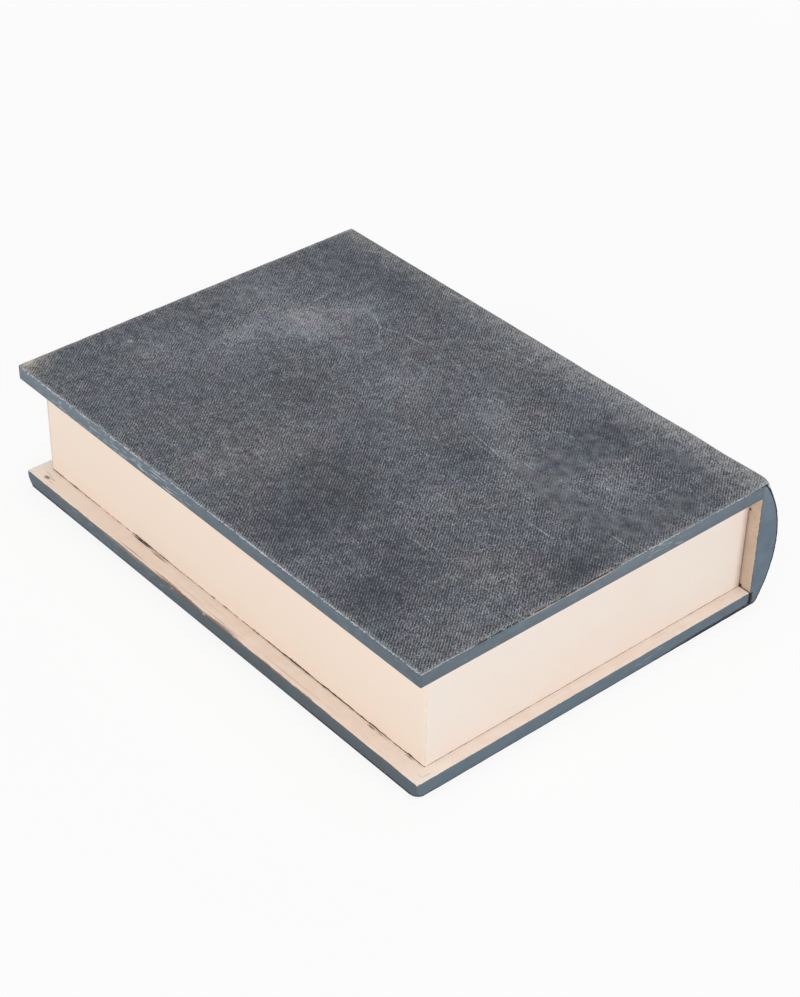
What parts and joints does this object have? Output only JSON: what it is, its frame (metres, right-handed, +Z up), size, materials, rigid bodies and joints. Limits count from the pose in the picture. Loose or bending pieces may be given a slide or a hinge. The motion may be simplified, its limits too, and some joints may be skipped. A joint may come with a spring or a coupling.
{
  "type": "book box",
  "caption": "Hinged box shaped like a bound book: flat cover boards and a round spine joined by cloth, with a lined tray in the place of the pages.",
  "frame": {"origin": "middle of the underside of the closed box, on the bottom face of the cloth", "axes": "+X along the spine, +Y from the fore edge to the spine, +Z up through the lid"},
  "size_m": [0.305, 0.2292, 0.0726],
  "materials": {
    "painted_wood": "hand-painted blue-grey edges, brushed cream inner faces",
    "bare_wood": "unpainted, planed",
    "cream_card": "smooth, painted cream",
    "lining_paper": "uncoated",
    "felt": "pressed wool felt",
    "pin_steel": "plain",
    "denim": "washed twill, worn pale in patches"
  },
  "bodies": {
    "base": {"bottom_board": "painted_wood", "fore_edge_wall": "bare_wood", "spine_side_wall": "bare_wood", "left_end_wall": "bare_wood", "right_end_wall": "bare_wood", "page_wrap": "cream_card", "fore_edge_lining": "lining_paper", "spine_side_lining": "lining_paper", "left_end_lining": "lining_paper", "right_end_lining": "lining_paper", "floor_lining": "felt", "corner_pins": "pin_steel", "board_pins": "pin_steel", "bottom_cloth": "denim"},
    "spine": {"spine_block": "painted_wood", "spine_cloth": "denim"},
    "lid": {"top_board": "painted_wood", "lid_lining": "lining_paper", "top_cloth": "denim"}
  },
  "joints": [
    {"name": "spine_hinge", "type": "hinge", "parent": "base", "child": "spine", "pos_m": [0, 0.10424, 0.0004], "axis": [-1, 0, 0], "range_deg": [0, 50]},
    {"name": "lid_hinge", "type": "hinge", "parent": "spine", "child": "lid", "pos_m": [0, 0.10136, 0.0722], "axis": [-1, 0, 0], "range_deg": [0, 140]}
  ]
}
